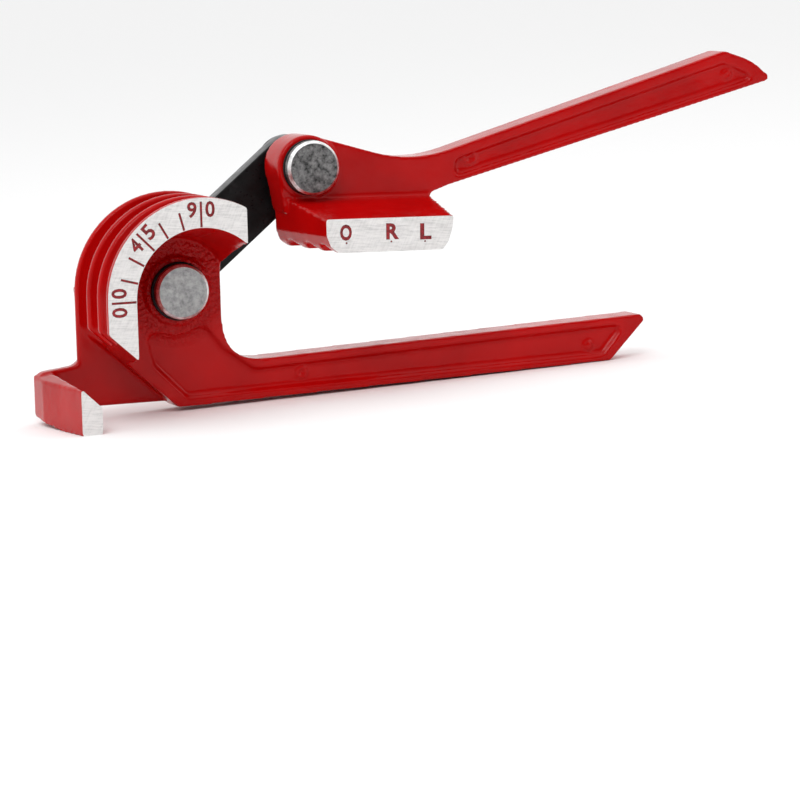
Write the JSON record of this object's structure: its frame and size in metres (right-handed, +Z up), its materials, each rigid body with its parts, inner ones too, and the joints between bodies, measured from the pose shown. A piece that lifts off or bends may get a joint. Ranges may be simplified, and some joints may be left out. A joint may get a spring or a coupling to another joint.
{
  "type": "manual tube bender",
  "caption": "Hand lever tube bender: cast lower lever with a grooved former wheel and hook, steel link, and cast upper lever with a grooved shoe.",
  "frame": {"origin": "on the bench under the middle of the tool, which stands on its hook foot and on the end of its lower handle", "axes": "+X towards the handle ends, +Y from the dial face to the back, +Z up"},
  "size_m": [0.2422, 0.0478, 0.0923],
  "materials": {
    "red_enamel": "glossy red enamel on die-cast aluminium, with bare machined dial and shoe faces",
    "black_steel": "satin black painted steel",
    "plated_steel": "dull plated steel with faint turning marks",
    "blackened_steel": "blackened steel"
  },
  "bodies": {
    "former": {"lower_casting": "red_enamel", "former_pin": "plated_steel", "former_head_washer": "blackened_steel", "former_link_washer": "blackened_steel", "former_tail_washer": "blackened_steel"},
    "link": {"link_bar": "black_steel"},
    "lever": {"upper_casting": "red_enamel", "shoe_pin": "plated_steel", "shoe_head_washer": "blackened_steel", "shoe_link_washer": "blackened_steel", "shoe_tail_washer": "blackened_steel"}
  },
  "joints": [
    {"name": "former_hinge", "type": "hinge", "parent": "former", "child": "link", "pos_m": [-0.07791, -0.02395, 0.03604], "axis": [0, -1, 0], "range_deg": [-4, 150]},
    {"name": "shoe_hinge", "type": "hinge", "parent": "link", "child": "lever", "pos_m": [-0.03452, -0.02395, 0.0687], "axis": [0, -1, 0], "range_deg": [-24, 120]}
  ]
}
